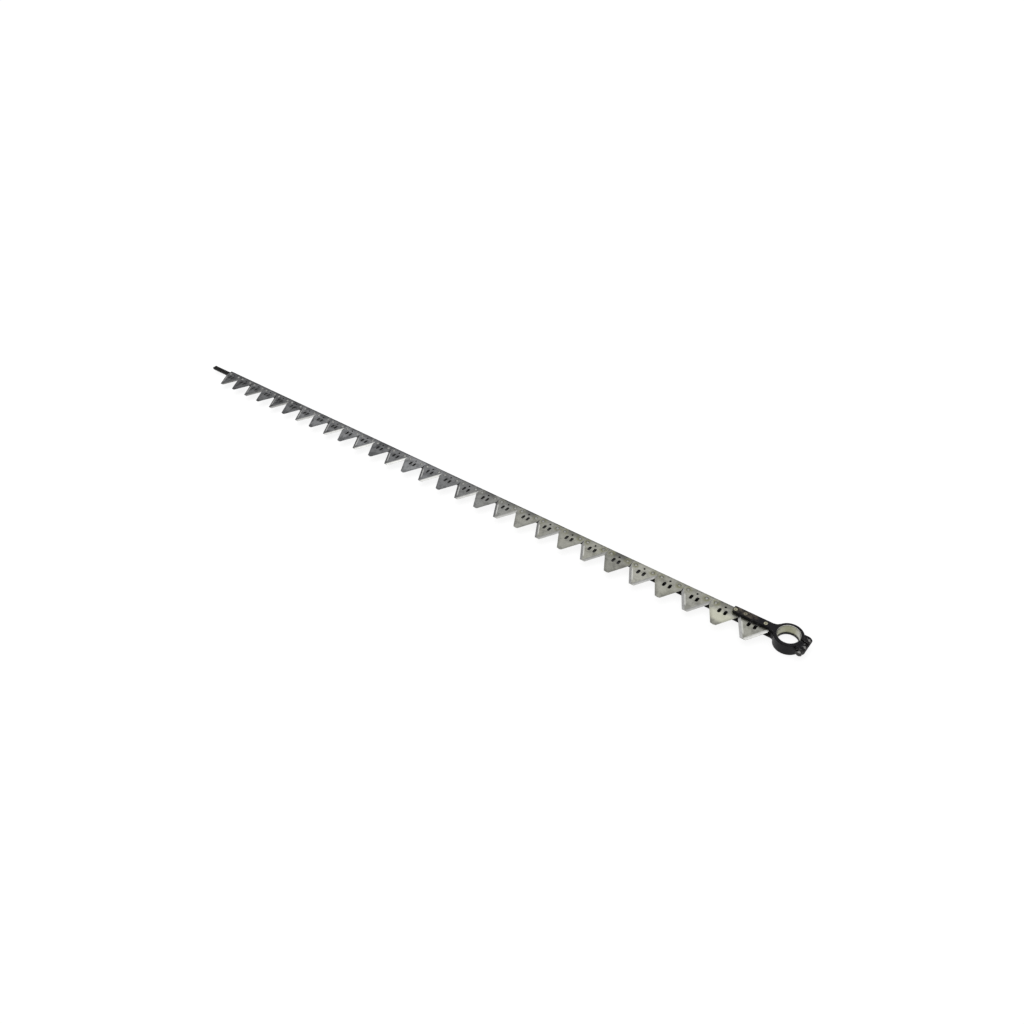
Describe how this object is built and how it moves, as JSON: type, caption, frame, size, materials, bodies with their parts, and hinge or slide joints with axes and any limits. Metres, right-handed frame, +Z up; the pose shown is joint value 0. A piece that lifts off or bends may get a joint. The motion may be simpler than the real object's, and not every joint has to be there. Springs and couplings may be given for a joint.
{
  "type": "mower sickle",
  "caption": "Straight mower sickle: triangular knife sections riveted along a flat steel back, with a split-eye knife head at the drive end and a bare tail at the other.",
  "frame": {"origin": "on the axis of the drive eye, level with the top faces of the sections", "axes": "+X along the knife towards the drive eye, -Y towards the section tips, +Z up along the drive eye's axis"},
  "size_m": [2.4037, 0.0949, 0.0335],
  "materials": {
    "section_steel": "ground and dull",
    "rivet_steel": "dull",
    "bar_black": "satin black",
    "casting_black": "satin black, bare bearing seat",
    "bright_rivet": "bare",
    "bolt_black": "satin black"
  },
  "bodies": {
    "root": {"knife_back": "bar_black", "section_01": "section_steel", "section_02": "section_steel", "section_03": "section_steel", "section_04": "section_steel", "section_05": "section_steel", "section_06": "section_steel", "section_07": "section_steel", "section_08": "section_steel", "section_09": "section_steel", "section_10": "section_steel", "section_11": "section_steel", "section_12": "section_steel", "section_13": "section_steel", "section_14": "section_steel", "section_15": "section_steel", "section_16": "section_steel", "section_17": "section_steel", "section_18": "section_steel", "section_19": "section_steel", "section_20": "section_steel", "section_21": "section_steel", "section_22": "section_steel", "section_23": "section_steel", "section_24": "section_steel", "section_25": "section_steel", "section_26": "section_steel", "section_27": "section_steel", "section_28": "section_steel", "section_29": "section_steel", "section_rivets": "rivet_steel", "head_backing_bar": "bar_black", "knife_head": "casting_black", "head_rivets": "bright_rivet", "clamp_bolt": "bolt_black", "clamp_nut": "bolt_black"}
  },
  "joints": []
}
